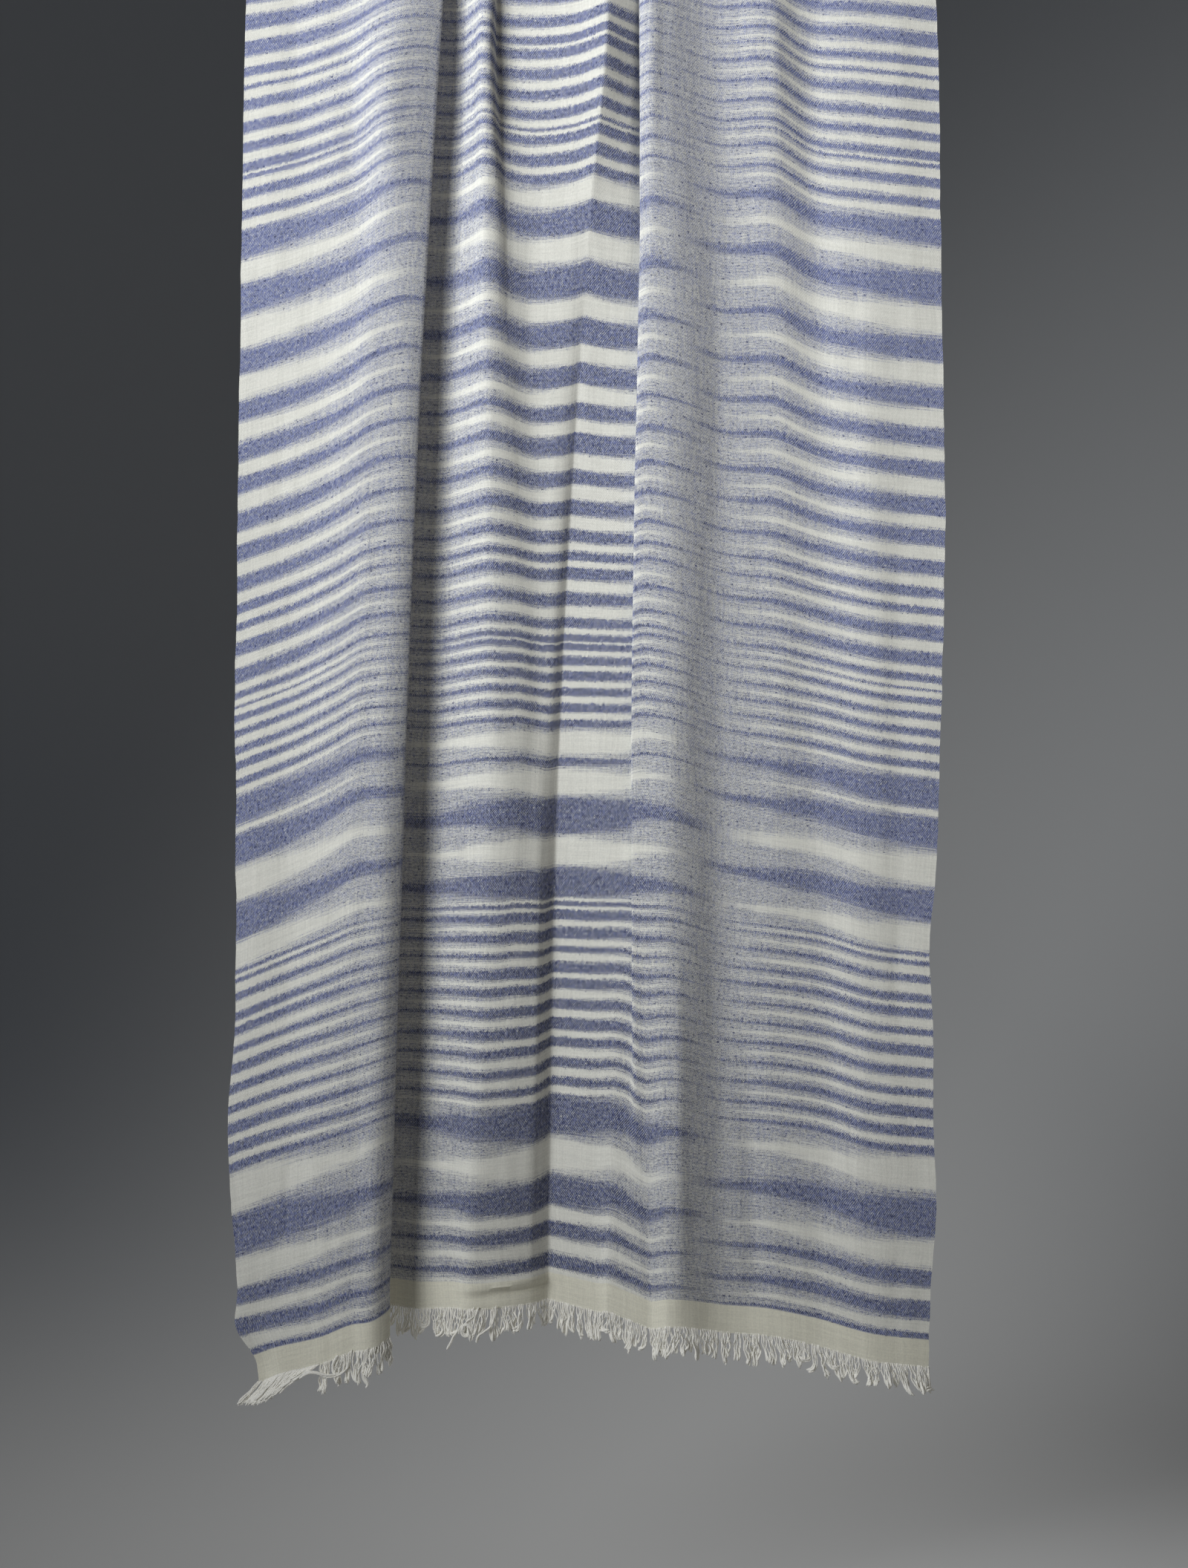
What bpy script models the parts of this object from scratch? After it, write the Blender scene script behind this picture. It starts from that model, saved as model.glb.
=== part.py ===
"""A striped handwoven stole hanging over a plain wooden rod, as solids at their real size.

Metres, +Z up. The origin is the middle of the rod's axis. The long fall of the stole hangs in front
of the rod and faces -Y. The short fall hangs behind the rod, on the +Y side, and doesn't show from
the front. The stole is one length of cloth. It is modelled in the stretches that hang, bend and hang
again, with a row of fringe at each end.

The drape is worked out from its fold lines. A fold line runs down the cloth, and its row says how
far right of the middle it hangs and how far it stands out from the plain hang of the cloth, at five
levels. A smooth curve through the fold lines gives the section of the cloth at any depth.
"""

import math
import random
from collections import namedtuple

import bmesh
import bpy
import numpy as np

# Driving dimensions

ROD_DIAMETER = 0.025
ROD_LENGTH = 0.760
ROD_SIDES = 48
ROD_EDGE_ROUNDING = 0.0015

WOVEN_LENGTH = 1.944            # hem edge to hem edge, without the fringe
FRONT_FALL = 1.1235             # rod axis to hem edge, down the pressed crease
WALL = 0.001                    # thickness of the cloth
SEAM = 0.0003                   # gap between neighbouring solids
ROD_GAP = 0.0004                # gap between the rod and the cloth on it

FRINGE_LENGTH = 0.028
STRIP_HEIGHT = 0.003            # woven edge that the fringe hangs from
FRONT_STRAND_SPACING = 0.0088
BACK_STRAND_SPACING = 0.0117
SHORTEST_STRAND = 0.82          # of the longest one
STRAND_TAPER = ((0.5, 0.72), (1.0, 0.42))  # how wide a strand is at each share of its length
SWAY = 0.0012                   # how far a strand's tip may wander
FLARE_END = 0.066               # share of the hem, from the left, whose front strands lean out
FLARE_START_LEAN = 0.016        # lean of the first strand's tip
FLARE_ADDED_LEAN = 0.012        # more of it at the last leaning strand
FLARE_LIFT = 0.004              # how much higher the leaning tips end

# How finely the cloth is faceted

COLUMN_SPACING = 0.0150
TUCK_COLUMNS = 2                # columns for each of a tuck's four stretches
FRONT_ROWS = 26
ROD_ROWS = 11
BACK_ROWS = 13
ROW_CROWDING = 1.3              # how much closer the rows lie near the rod than at the hems

# The fold lines, from the left selvedge to the right one
#
# x, out and the like hold one value for each level. droop holds how much lower than the pressed
# crease a weft line hangs there, near the rod and at the hem. A Line with softness 0 is a sharp
# crease. A Tuck is a knife fold: the panel on its "over" side lies over the other, the edge of the
# upper layer hangs at edge_x, and the cloth runs back under it by width and out again.

LEVELS = (0.000, 0.085, 0.240, 0.730, 1.110)         # depth below the rod's axis

Line = namedtuple("Line", "name x out droop softness")
Tuck = namedtuple("Tuck", "name over edge_x outer inner width closed droop")

FOLDS = (
    Line("left_selvedge", (-0.277, -0.279, -0.281, -0.285, -0.283), (0.001, 0.004, 0.008, 0.012, 0.014),
         (0.032, 0.0648), 1.0),
    Line("left_panel", (-0.226, -0.229, -0.232, -0.238, -0.242), (0.001, 0.006, 0.010, 0.015, 0.018),
         (0.0255, 0.0538), 1.0),
    Line("left_rise", (-0.184, -0.188, -0.192, -0.206, -0.214), (0.002, 0.012, 0.016, 0.022, 0.025),
         (0.0145, 0.045), 1.0),
    Line("left_swell", (-0.148, -0.153, -0.162, -0.182, -0.190), (0.008, 0.023, 0.025, 0.026, 0.029),
         (0.0015, 0.0345), 1.0),
    Tuck("left_tuck", "left", (-0.114, -0.1185, -0.128, -0.149, -0.160), (0.009, 0.018, 0.022, 0.026, 0.030),
         (0.002, 0.006, 0.009, 0.008, 0.004), (0.031, 0.029, 0.026, 0.020, 0.023), (1, 1, 1, 1, 1),
         (-0.001, 0.0286)),
    Line("recess", (-0.101, -0.1015, -0.107, -0.122, -0.136), (0.002, 0.002, 0.003, 0.001, 0.000),
         (0.0015, 0.0075), 0.6),
    Line("shoulder", (-0.094, -0.0925, -0.0935, -0.101, -0.110), (0.003, 0.0095, 0.0110, 0.009, 0.009),
         (-0.002, 0.0045), 0.5),
    Line("ridge_a", (-0.082, -0.0860, -0.0840, -0.081, -0.097), (0.005, 0.0180, 0.0200, 0.0165, 0.017),
         (-0.004, 0.0038), 0.9),
    Line("ridge_edge", (-0.0755, -0.0785, -0.0755, -0.071, -0.086), (0.0035, 0.0172, 0.0190, 0.0168, 0.0165),
         (-0.003, 0.0037), 1.0),
    Line("ridge_foot", (-0.070, -0.0750, -0.068, -0.060, -0.074), (0.003, 0.0080, 0.0135, 0.0155, 0.015),
         (0.004, 0.003), 0.3),
    Line("valley_a", (-0.034, -0.044, -0.047, -0.043, -0.052), (0.002, 0.0075, 0.009, 0.0115, 0.009),
         (0.006, 0.0019), 1.0),
    Line("flat_a", (-0.008, -0.009, -0.012, -0.034, -0.042), (0.003, 0.0145, 0.0115, 0.0075, 0.0035),
         (0.0065, 0.0014), 1.0),
    Line("crease", (0.014, 0.015, 0.002, -0.026, -0.033), (0.006, 0.023, 0.013, 0.0025, -0.003),
         (0.000, 0.0007), 0.1),
    Line("under_tuck", (0.0365, 0.036, 0.0272, 0.003, 0.004), (0.0038, 0.0123, 0.0099, 0.0065, 0.006),
         (0.0045, 0.0077), 1.0),
    Tuck("right_tuck", "right", (0.041, 0.041, 0.041, 0.032, 0.034), (0.008, 0.023, 0.023, 0.020, 0.016),
         (0.001, -0.002, 0.006, 0.012, 0.012), (0.031, 0.029, 0.025, 0.018, 0.018), (1, 1, 1, 0.65, 0),
         (-0.004, 0.0195)),
    Line("ridge_b", (0.068, 0.062, 0.062, 0.060, 0.062), (0.006, 0.020, 0.023, 0.024, 0.025),
         (-0.003, 0.0156), 1.0),
    Line("valley_b", (0.098, 0.100, 0.105, 0.106, 0.108), (0.001, 0.010, 0.012, 0.014, 0.014),
         (0.004, 0.0225), 1.0),
    Line("ridge_c", (0.144, 0.151, 0.154, 0.154, 0.154), (0.004, 0.014, 0.013, 0.014, 0.015),
         (0.007, 0.0268), 0.8),
    Line("dip_c", (0.163, 0.169, 0.175, 0.178, 0.178), (0.001, 0.007, 0.009, 0.013, 0.015),
         (0.016, 0.0318), 1.0),
    Line("right_panel", (0.217, 0.223, 0.226, 0.226, 0.226), (0.001, 0.010, 0.014, 0.018, 0.020),
         (0.023, 0.0438), 1.0),
    Line("right_selvedge", (0.279, 0.282, 0.284, 0.281, 0.274), (0.001, 0.008, 0.012, 0.016, 0.016),
         (0.028, 0.0503), 1.0),
)

TUCK_LIP = 0.008                # how far the layers of a tuck run flat beside its turns
TUCK_SPREAD = 0.008             # spacing of a tuck's points where it has opened out
BACK_FULLNESS = 0.6             # how far the folds stand out behind, set against the front

# The lower left corner, which curls in

CURL_START = 1.130              # depth where it starts
CURL_RUN = 0.045
CURL_REACH = 0.050              # how far in from the selvedge it is felt
CURL_IN = 0.016
CURL_BACK = 0.006

# Colours: red, green, blue, roughness

FINISHES = {
    "front_fall": (0.42, 0.46, 0.60, 0.85),
    "over_rod": (0.44, 0.48, 0.61, 0.85),
    "back_fall": (0.40, 0.44, 0.58, 0.85),
    "fringe_front": (0.78, 0.76, 0.69, 0.90),
    "fringe_back": (0.76, 0.74, 0.67, 0.90),
    "rod": (0.58, 0.40, 0.23, 0.45),
}

HANG_RADIUS = ROD_DIAMETER / 2 + ROD_GAP + WALL / 2      # of the middle of the wall on the rod


# Smooth curves through named points

def slope_weights(knots, softness):
    """For each knot, the weights that give the curve's slope there from the values at the knots."""
    count = len(knots)
    weights = np.zeros((count, count))
    for i in range(count):
        before = knots[i] - knots[i - 1] if i > 0 else None
        after = knots[i + 1] - knots[i] if i < count - 1 else None
        if before is None:
            weights[i, i], weights[i, i + 1] = -1 / after, 1 / after
        elif after is None:
            weights[i, i - 1], weights[i, i] = -1 / before, 1 / before
        else:
            span = before + after
            weights[i, i - 1] -= after / before / span
            weights[i, i] += after / before / span - before / after / span
            weights[i, i + 1] += before / after / span
    return weights * np.asarray(softness)[:, None]


def curve_weights(knots, softness, places):
    """Weights on the values at the knots that give a smooth curve's value at each place."""
    knots = np.asarray(knots, float)
    slopes = slope_weights(knots, softness)
    places = np.clip(places, knots[0], knots[-1])
    i = np.minimum(np.searchsorted(knots, places, side="right") - 1, len(knots) - 2)
    step = knots[i + 1] - knots[i]
    u = (places - knots[i]) / step
    weights = np.zeros((len(places), len(knots)))
    row = np.arange(len(places))
    weights[row, i] += 2 * u**3 - 3 * u**2 + 1
    weights[row, i + 1] += 3 * u**2 - 2 * u**3
    weights += (step * (u**3 - 2 * u**2 + u))[:, None] * slopes[i]
    weights += (step * (u**3 - u**2))[:, None] * slopes[i + 1]
    return weights


def ramp(value):
    """0 below 0, 1 above 1, and smooth between."""
    value = np.clip(value, 0, 1)
    return value * value * (3 - 2 * value)


# The section of the cloth

def tuck_rows(tuck, below):
    """The five fold lines of a knife fold, in order from the left. below is the next line's droop."""
    outer, inner = np.array(tuck.outer), np.array(tuck.inner)
    width, closed = np.array(tuck.width), np.array(tuck.closed)
    edge_x = np.array(tuck.edge_x)
    folded = [-TUCK_LIP + 0 * width, 0 * width, -width / 2, -width, -width + TUCK_LIP]
    depths = [0, 0.25, 0.5, 0.75, 1]
    rows = []
    for i, shift in enumerate(folded):
        spread = (i - 2) * TUCK_SPREAD
        if tuck.over == "right":
            x = edge_x - closed * shift - (1 - closed) * spread
        else:
            x = edge_x + closed * shift + (1 - closed) * spread
        out = outer + (inner - outer) * depths[i]
        droop = np.array(tuck.droop) + (np.array(below) - np.array(tuck.droop)) * depths[i]
        rows.append((x, out, droop, 1.0))
    return rows[::-1] if tuck.over == "right" else rows


def section_table():
    """All fold lines as arrays: x and out at the levels, droop, softness, and which are in tucks."""
    rows, in_tuck = [], []
    for i, fold in enumerate(FOLDS):
        if isinstance(fold, Tuck):
            under = FOLDS[i - 1] if fold.over == "right" else FOLDS[i + 1]
            added = tuck_rows(fold, under.droop)
        else:
            added = [(np.array(fold.x), np.array(fold.out), np.array(fold.droop), fold.softness)]
        rows += added
        in_tuck += [len(added) > 1] * len(added)
    x, out, droop, softness = (np.array(column) for column in zip(*rows))
    return x, out, droop, softness, in_tuck


SECTION_X, SECTION_OUT, SECTION_DROOP, SECTION_SOFTNESS, SECTION_IN_TUCK = section_table()


def section_knots():
    """The distance across the cloth of each fold line, taken at the top level."""
    steps = np.hypot(np.diff(SECTION_X[:, 1]), np.diff(SECTION_OUT[:, 1]))
    return np.concatenate(([0], np.cumsum(steps)))


def column_places():
    """Where the columns of the mesh cross the section: on each fold line and evenly between."""
    knots = section_knots()
    places = [0.0]
    for i in range(len(knots) - 1):
        if SECTION_IN_TUCK[i] and SECTION_IN_TUCK[i + 1]:
            count = TUCK_COLUMNS
        else:
            count = max(1, round((knots[i + 1] - knots[i]) / COLUMN_SPACING))
        places += [knots[i] + (knots[i + 1] - knots[i]) * (k + 1) / count for k in range(count)]
    return np.array(places)


# The whole cloth, as a grid of points in the middle of its wall

def at_depths(basis, table, depth):
    """A table's value for each column at each depth, columns by rows."""
    levels = curve_weights(LEVELS, np.ones(len(LEVELS)), depth.ravel())
    levels = levels.reshape(depth.shape + (len(LEVELS),))
    return np.einsum("cf,fl,crl->cr", basis, table, levels)


def cloth_grid():
    """Columns by rows by 3, from the front hem over the rod to the back hem, and each row's stretch."""
    places = column_places()
    basis = curve_weights(section_knots(), SECTION_SOFTNESS, places)
    droop = basis @ SECTION_DROOP
    columns = len(places)

    front_length = FRONT_FALL + droop[:, 1]
    back_length = WOVEN_LENGTH - FRONT_FALL - droop[:, 0] - math.pi * HANG_RADIUS
    fractions = np.linspace(1, 0, FRONT_ROWS) ** ROW_CROWDING
    front_depth = SEAM / 2 + (front_length[:, None] - SEAM / 2) * fractions
    back_fractions = np.linspace(0, 1, BACK_ROWS) ** ROW_CROWDING
    back_depth = SEAM / 2 + (back_length[:, None] - SEAM / 2) * back_fractions

    front_x = at_depths(basis, SECTION_X, front_depth)
    front_out = at_depths(basis, SECTION_OUT, front_depth)
    curl = ramp((front_depth - CURL_START) / CURL_RUN) * ramp(1 - places / CURL_REACH)[:, None]
    front_x = front_x + CURL_IN * curl
    front_out = front_out - CURL_BACK * curl
    front = np.stack([front_x, -HANG_RADIUS - front_out, -front_depth], axis=2)

    seam_angle = SEAM / 2 / HANG_RADIUS
    angles = np.linspace(seam_angle, math.pi - seam_angle, ROD_ROWS)
    rod_x = (basis @ SECTION_X[:, 0])[:, None] + np.zeros((columns, ROD_ROWS))
    radius = HANG_RADIUS + (basis @ SECTION_OUT[:, 0])[:, None]
    over = np.stack([rod_x, -radius * np.cos(angles), radius * np.sin(angles)], axis=2)

    back_table = SECTION_OUT[:, :1] + (SECTION_OUT - SECTION_OUT[:, :1]) * BACK_FULLNESS
    back_x = at_depths(basis, SECTION_X, back_depth)
    back_out = at_depths(basis, back_table, back_depth)
    back = np.stack([back_x, HANG_RADIUS + back_out, -back_depth], axis=2)

    stretches = {
        "front_fall": slice(0, FRONT_ROWS),
        "over_rod": slice(FRONT_ROWS, FRONT_ROWS + ROD_ROWS),
        "back_fall": slice(FRONT_ROWS + ROD_ROWS, FRONT_ROWS + ROD_ROWS + BACK_ROWS),
    }
    return np.concatenate([front, over, back], axis=1), stretches


def grid_normals(grid):
    """Unit normals of the grid, away from the rod."""
    across = np.gradient(grid, axis=0)
    along = np.gradient(grid, axis=1)
    normals = np.cross(across, along)
    return normals / np.linalg.norm(normals, axis=2, keepdims=True)


# Solids

def material(name):
    """The plain finish of one sub-part."""
    red, green, blue, roughness = FINISHES[name]
    finish = bpy.data.materials.new(name)
    finish.use_nodes = True
    shader = finish.node_tree.nodes["Principled BSDF"]
    shader.inputs["Base Color"].default_value = (red, green, blue, 1)
    shader.inputs["Roughness"].default_value = roughness
    shader.inputs["Metallic"].default_value = 0.0
    finish.diffuse_color = (red, green, blue, 1)
    return finish


def add_object(name, solid):
    """Puts a bmesh in the scene under a sub-part's name, shaded smooth, with its own finish."""
    bmesh.ops.recalc_face_normals(solid, faces=solid.faces)
    mesh = bpy.data.meshes.new(name)
    solid.to_mesh(mesh)
    solid.free()
    mesh.shade_smooth()
    mesh.set_sharp_from_angle(angle=math.radians(50))
    mesh.materials.append(material(name))
    item = bpy.data.objects.new(name, mesh)
    bpy.context.scene.collection.objects.link(item)
    return item


def cloth_wall(name, middle, normals):
    """A closed wall of even thickness round a grid of middle points."""
    solid = bmesh.new()
    outer = [[solid.verts.new(p) for p in line] for line in middle + normals * WALL / 2]
    inner = [[solid.verts.new(p) for p in line] for line in middle - normals * WALL / 2]
    last_column, last_row = len(outer) - 1, len(outer[0]) - 1
    for c in range(last_column):
        for r in range(last_row):
            for side in (outer, inner):
                solid.faces.new((side[c][r], side[c + 1][r], side[c + 1][r + 1], side[c][r + 1]))
        for r in (0, last_row):
            solid.faces.new((outer[c][r], outer[c + 1][r], inner[c + 1][r], inner[c][r]))
    for r in range(last_row):
        for c in (0, last_column):
            solid.faces.new((outer[c][r], outer[c][r + 1], inner[c][r + 1], inner[c][r]))
    return add_object(name, solid)


def divided_edge(points, spacing):
    """Points on the straight stretches between the given ones, about spacing apart."""
    rows = [points[0]]
    for start, end in zip(points[:-1], points[1:]):
        count = max(1, round(np.linalg.norm((end - start)[:3]) / spacing))
        rows += [start + (end - start) * (k + 1) / count for k in range(count)]
    return np.array(rows)


def flare(share):
    """How far a strand's tip leans out at a share of the hem from the lower left corner."""
    if share > FLARE_END:
        return np.zeros(3)
    lean = FLARE_START_LEAN + FLARE_ADDED_LEAN * share / FLARE_END
    return np.array((-lean, 0.0, FLARE_LIFT))


def fringe(name, edge, edge_normals, strand_spacing, seed, flared):
    """A strip just below a hem edge, with a strand hanging from every second stretch of it."""
    draw = random.Random(seed)
    line = divided_edge(np.concatenate([edge, edge_normals], axis=1), strand_spacing / 2)
    middle, normals = line[:, :3], line[:, 3:]
    down = np.array((0.0, 0.0, -1.0))
    solid = bmesh.new()

    def ring(centre, side, thickness):
        corners = [centre - side - thickness, centre + side - thickness,
                   centre + side + thickness, centre - side + thickness]
        return [solid.verts.new(corner) for corner in corners]

    levels = (SEAM, SEAM + STRIP_HEIGHT)
    posts = []
    for point, normal in zip(middle, normals):
        half = normal * WALL / 2
        posts.append([solid.verts.new(point + down * level + half * sign)
                      for level in levels for sign in (1, -1)])
    for i, (left, right) in enumerate(zip(posts[:-1], posts[1:])):
        solid.faces.new((left[0], right[0], right[2], left[2]))
        solid.faces.new((left[1], left[3], right[3], right[1]))
        solid.faces.new((left[0], left[1], right[1], right[0]))
        base = (left[2], right[2], right[3], left[3])
        if i % 2 == 0:
            solid.faces.new(base)
            continue
        centre = (middle[i] + middle[i + 1]) / 2 + down * (SEAM + STRIP_HEIGHT)
        side = (middle[i + 1] - middle[i]) / 2
        side[2] = 0.0
        thickness = -(normals[i] + normals[i + 1]) / 4 * WALL
        thickness[2] = 0.0
        length = (FRINGE_LENGTH - STRIP_HEIGHT) * draw.uniform(SHORTEST_STRAND, 1.0)
        lean = np.array((draw.uniform(-SWAY, SWAY), draw.uniform(-SWAY, SWAY), 0.0))
        if flared:
            lean = lean + flare(i / (len(middle) - 1))
        rings = [base]
        for share, narrowing in STRAND_TAPER:
            place = centre + down * length * share + lean * share
            rings.append(ring(place, side * narrowing, thickness * narrowing))
        for upper, lower in zip(rings[:-1], rings[1:]):
            for k in range(4):
                solid.faces.new((upper[k], upper[(k + 1) % 4], lower[(k + 1) % 4], lower[k]))
        solid.faces.new(rings[-1])
    for post in (posts[0], posts[-1]):
        solid.faces.new((post[0], post[1], post[3], post[2]))
    return add_object(name, solid)


def rod():
    """A plain round rod along X with slightly rounded end edges."""
    solid = bmesh.new()
    bmesh.ops.create_cone(solid, cap_ends=True, segments=ROD_SIDES, radius1=ROD_DIAMETER / 2,
                          radius2=ROD_DIAMETER / 2, depth=ROD_LENGTH)
    item = add_object("rod", solid)
    item.rotation_euler = (0, math.pi / 2, 0)
    rounding = item.modifiers.new("rounded_ends", "BEVEL")
    rounding.width = ROD_EDGE_ROUNDING
    rounding.segments = 2
    rounding.limit_method = "ANGLE"
    rounding.angle_limit = math.radians(60)
    return item


def build():
    for item in list(bpy.data.objects):
        bpy.data.objects.remove(item)
    grid, stretches = cloth_grid()
    normals = grid_normals(grid)
    for name, rows in stretches.items():
        cloth_wall(name, grid[:, rows], normals[:, rows])
    fringe("fringe_front", grid[:, 0], normals[:, 0], FRONT_STRAND_SPACING, seed=11, flared=True)
    fringe("fringe_back", grid[:, -1], normals[:, -1], BACK_STRAND_SPACING, seed=23, flared=False)
    rod()


build()
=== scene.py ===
"""The looks of a striped handwoven stole that hangs over a plain wooden rod. Metres, +Z up."""

import random
from collections import namedtuple
from math import cos, pi, radians, sin

import bpy
import numpy as np
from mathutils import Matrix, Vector, noise


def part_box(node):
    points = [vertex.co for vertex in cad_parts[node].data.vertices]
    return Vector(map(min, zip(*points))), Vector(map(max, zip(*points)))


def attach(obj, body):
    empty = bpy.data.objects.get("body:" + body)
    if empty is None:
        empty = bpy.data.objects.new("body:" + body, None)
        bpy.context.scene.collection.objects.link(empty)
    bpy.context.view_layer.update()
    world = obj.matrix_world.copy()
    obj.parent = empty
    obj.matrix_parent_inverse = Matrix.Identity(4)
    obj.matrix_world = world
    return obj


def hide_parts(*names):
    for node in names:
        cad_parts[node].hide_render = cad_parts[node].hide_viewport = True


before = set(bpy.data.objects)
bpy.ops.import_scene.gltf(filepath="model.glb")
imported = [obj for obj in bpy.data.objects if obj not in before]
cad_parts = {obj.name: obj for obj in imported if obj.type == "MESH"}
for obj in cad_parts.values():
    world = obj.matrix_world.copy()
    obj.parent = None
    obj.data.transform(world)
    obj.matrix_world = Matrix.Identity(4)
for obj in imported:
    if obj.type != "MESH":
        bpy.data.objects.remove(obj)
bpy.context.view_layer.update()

# Sizes from the frame

ROD_LOW, ROD_HIGH = (Vector(corner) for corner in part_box("rod"))
ROD_RADIUS = (ROD_HIGH.z - ROD_LOW.z) / 2
ROD_LENGTH = ROD_HIGH.x - ROD_LOW.x

# Sizes of the stole, as in the part's source

WOVEN_LENGTH = 1.944  # hem edge to hem edge, without the fringe
CLOTH_WIDTH = 0.69
FRONT_FALL = 1.1235  # rod axis to hem edge, down the pressed crease
FRINGE_LENGTH = 0.028
HANG_RADIUS = ROD_RADIUS + 0.0009  # of the middle of the cloth on the rod
CLOTH_THICKNESS = 0.0007
HEM_BAND = 0.0225  # plain cream weave beside each hem edge

# How finely the cloth is meshed

COLUMN_SPACING = 0.0034
TUCK_COLUMNS = 6
FRONT_ROWS = 136
ROD_ROWS = 14
BACK_ROWS = 54
FRONT_CROWDING = 0.6  # how much closer the rows lie at the hem than near the rod
BACK_CROWDING = 0.2
CLOTH_SHARP_ANGLE = 60  # degrees from which an edge of the shell stays sharp

# The fold lines, from the left selvedge to the right one
#
# x and out say at each level how far right of the middle the fold line hangs, and how far it stands
# out from the plain hang. droop says how much lower than the pressed crease a weft line hangs there. A
# Line with softness 0 is a sharp crease. A Tuck is a knife fold: the panel on its "over" side lies over
# the other, the upper layer's edge hangs at edge_x, and the cloth runs back under it by width.

LEVELS = (0.0, 0.085, 0.24, 0.73, 1.11)  # depth below the rod, for x and out
DROOP_LEVELS = (0.0, 0.24, 0.73, 1.0, 1.13)  # depth below the rod, for droop

Line = namedtuple("Line", "name x out droop softness", defaults=(1.0,))
Tuck = namedtuple("Tuck", "name over edge_x outer inner width closed droop")

FOLDS = (
    Line("left_selvedge", (-0.277, -0.279, -0.281, -0.285, -0.283), (0.001, 0.004, 0.008, 0.012, 0.014),
         (0.032, 0.044, 0.0568, 0.0613, 0.0648)),
    Line("left_panel", (-0.226, -0.229, -0.232, -0.238, -0.242), (0.001, 0.006, 0.01, 0.015, 0.018),
         (0.0255, 0.032, 0.0384, 0.0443, 0.0538)),
    Line("left_rise", (-0.184, -0.188, -0.192, -0.206, -0.214), (0.002, 0.012, 0.016, 0.022, 0.025),
         (0.0145, 0.0185, 0.0235, 0.0355, 0.045)),
    Line("left_swell", (-0.148, -0.153, -0.162, -0.182, -0.19), (0.008, 0.023, 0.025, 0.026, 0.029),
         (0.0015, 0.004, 0.0125, 0.028, 0.0345)),
    Tuck("left_tuck", "left", (-0.114, -0.1185, -0.128, -0.149, -0.16), (0.009, 0.018, 0.022, 0.026, 0.03),
         (0.002, 0.006, 0.009, 0.008, 0.004), (0.031, 0.029, 0.026, 0.02, 0.023), (1, 1, 1, 1, 1),
         (-0.001, -0.0025, 0.01, 0.0195, 0.0286)),
    Line("recess", (-0.101, -0.1015, -0.107, -0.122, -0.136), (0.002, 0.002, 0.003, 0.001, 0.0),
         (0.0015, 0.0025, 0.004, 0.0075, 0.0075), 0.6),
    Line("shoulder", (-0.094, -0.0925, -0.0935, -0.101, -0.11), (0.003, 0.0095, 0.011, 0.009, 0.009),
         (-0.002, -0.0015, 0.0015, 0.008, 0.0045), 0.5),
    Line("ridge_a", (-0.082, -0.086, -0.084, -0.081, -0.097), (0.005, 0.018, 0.02, 0.0165, 0.017),
         (-0.004, -0.004, 0.0, 0.009, 0.0038), 0.9),
    Line("ridge_edge", (-0.0755, -0.0785, -0.0755, -0.071, -0.086), (0.0035, 0.0172, 0.019, 0.0168, 0.0165),
         (-0.003, -0.0025, 0.0003, 0.0085, 0.0037)),
    Line("ridge_foot", (-0.07, -0.075, -0.068, -0.06, -0.074), (0.003, 0.008, 0.0135, 0.0155, 0.015),
         (0.004, 0.003, -0.001, 0.0075, 0.003), 0.3),
    Line("valley_a", (-0.034, -0.044, -0.047, -0.043, -0.052), (0.002, 0.0075, 0.009, 0.0115, 0.009),
         (0.006, 0.008, 0.0005, 0.0055, 0.0019)),
    Line("flat_a", (-0.008, -0.009, -0.012, -0.034, -0.042), (0.003, 0.0145, 0.0115, 0.0075, 0.0035),
         (0.0065, 0.0052, 0.002, 0.0025, 0.0014)),
    Line("crease", (0.014, 0.015, 0.002, -0.026, -0.033), (0.006, 0.023, 0.013, 0.0025, -0.003),
         (0.0, 0.0008, 0.0002, -0.001, 0.0007), 0.2),
    Line("under_tuck", (0.0365, 0.036, 0.0272, 0.003, 0.004), (0.0038, 0.0123, 0.0099, 0.0065, 0.006),
         (0.0045, 0.0065, 0.0007, 0.002, 0.0077)),
    Tuck("right_tuck", "right", (0.041, 0.041, 0.041, 0.032, 0.034), (0.008, 0.023, 0.023, 0.02, 0.016),
         (0.001, -0.002, 0.006, 0.012, 0.012), (0.031, 0.029, 0.025, 0.018, 0.018), (1, 1, 1, 0.65, 0),
         (-0.004, -0.0075, -0.003, 0.016, 0.0195)),
    Line("ridge_b", (0.068, 0.062, 0.062, 0.06, 0.062), (0.006, 0.02, 0.023, 0.024, 0.025),
         (-0.003, -0.0055, -0.0017, 0.012, 0.0156)),
    Line("valley_b", (0.098, 0.1, 0.105, 0.106, 0.108), (0.001, 0.01, 0.012, 0.014, 0.014),
         (0.004, 0.005, 0.0124, 0.021, 0.0225)),
    Line("ridge_c", (0.144, 0.151, 0.154, 0.154, 0.154), (0.004, 0.014, 0.013, 0.014, 0.015),
         (0.007, 0.007, 0.0202, 0.0245, 0.0268), 0.8),
    Line("dip_c", (0.163, 0.169, 0.175, 0.178, 0.178), (0.001, 0.007, 0.009, 0.013, 0.015),
         (0.016, 0.0185, 0.024, 0.0283, 0.0318)),
    Line("right_panel", (0.217, 0.223, 0.226, 0.226, 0.226), (0.001, 0.01, 0.014, 0.018, 0.02),
         (0.023, 0.0305, 0.0358, 0.041, 0.0438)),
    Line("right_selvedge", (0.279, 0.282, 0.284, 0.281, 0.274), (0.001, 0.008, 0.012, 0.016, 0.016),
         (0.028, 0.0365, 0.043, 0.047, 0.0503)),
)

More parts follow.
